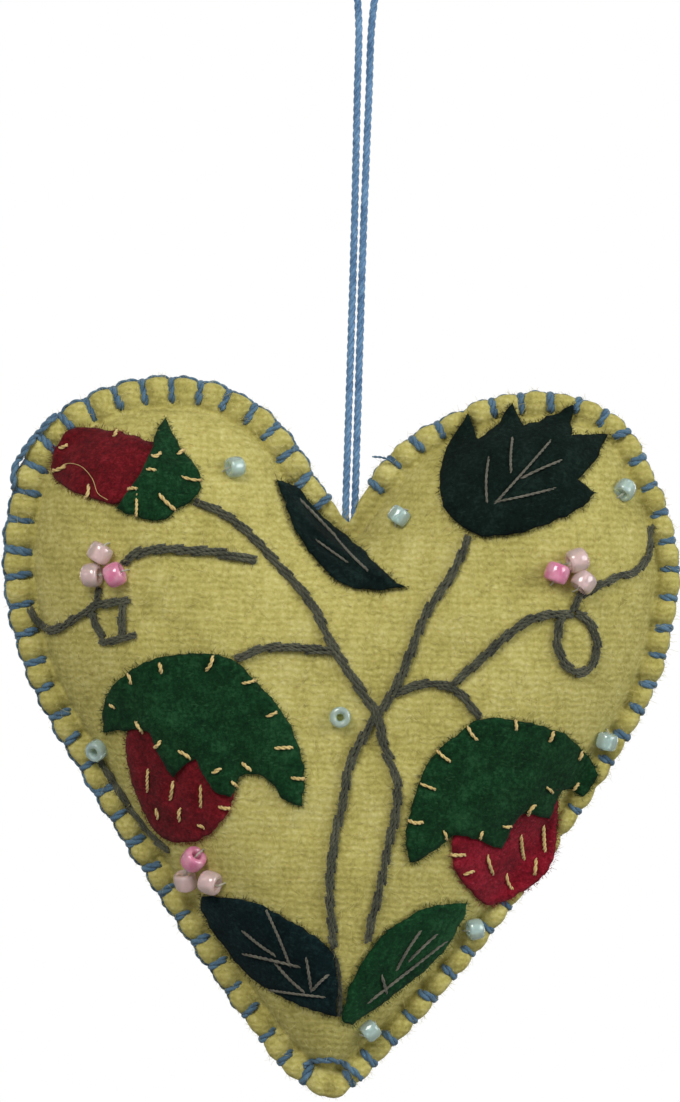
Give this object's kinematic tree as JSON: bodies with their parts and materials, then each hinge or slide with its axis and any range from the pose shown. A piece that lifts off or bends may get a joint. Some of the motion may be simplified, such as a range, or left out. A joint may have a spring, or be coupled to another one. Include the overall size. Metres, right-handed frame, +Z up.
{
  "type": "felt heart ornament",
  "caption": "Stuffed felt heart with blanket-stitched edge, felt strawberry and leaf applique, embroidered stems, glass beads and a twisted hanging cord.",
  "frame": {"origin": "the point inside the top of the hanging loop where it bears on a nail or twig", "axes": "+Z up along the taut cord, +X to the right as seen from the front, decorated front towards -Y"},
  "size_m": [0.0904, 0.0268, 0.159],
  "materials": {
    "heart_felt": "matt fulled wool with faint horizontal ribs and fuzz",
    "berry_felt": "matt crimson felt",
    "bright_berry_felt": "matt brighter red felt",
    "cap_felt": "matt dark green felt",
    "dark_leaf_felt": "matt blue-black green felt",
    "green_leaf_felt": "matt green felt",
    "stem_yarn": "twisted taupe embroidery thread",
    "edge_yarn": "twisted grey-blue thread",
    "hanging_cord": "two-ply twisted steel-blue cord",
    "aqua_glass": "glossy aqua seed bead with a faint lustre",
    "pink_glass": "glossy pink seed bead",
    "clear_glass": "glossy clear pinkish seed bead"
  },
  "bodies": {
    "root": {"heart_front": "heart_felt", "heart_back": "heart_felt", "blanket_stitch": "edge_yarn", "hanging_cord": "hanging_cord", "strawberry_upper_left": "berry_felt", "cap_upper_left": "cap_felt", "strawberry_middle_left": "berry_felt", "cap_middle_left": "cap_felt", "strawberry_right": "bright_berry_felt", "cap_right": "cap_felt", "leaf_serrated": "dark_leaf_felt", "leaf_folded": "dark_leaf_felt", "leaf_lower_left": "dark_leaf_felt", "leaf_lower_right": "green_leaf_felt", "vine": "stem_yarn", "stem_upper_left": "stem_yarn", "stem_left_curl": "stem_yarn", "stem_right_tail": "stem_yarn", "stem_lower_left": "stem_yarn", "bead_aqua_1": "aqua_glass", "bead_aqua_2": "aqua_glass", "bead_aqua_3": "aqua_glass", "bead_aqua_4": "aqua_glass", "bead_aqua_5": "aqua_glass", "bead_aqua_6": "aqua_glass", "bead_aqua_7": "aqua_glass", "bead_aqua_8": "aqua_glass", "bead_left_1": "pink_glass", "bead_left_2": "clear_glass", "bead_left_3": "clear_glass", "bead_right_1": "pink_glass", "bead_right_2": "clear_glass", "bead_right_3": "clear_glass", "bead_low_1": "pink_glass", "bead_low_2": "clear_glass", "bead_low_3": "clear_glass"}
  },
  "joints": []
}
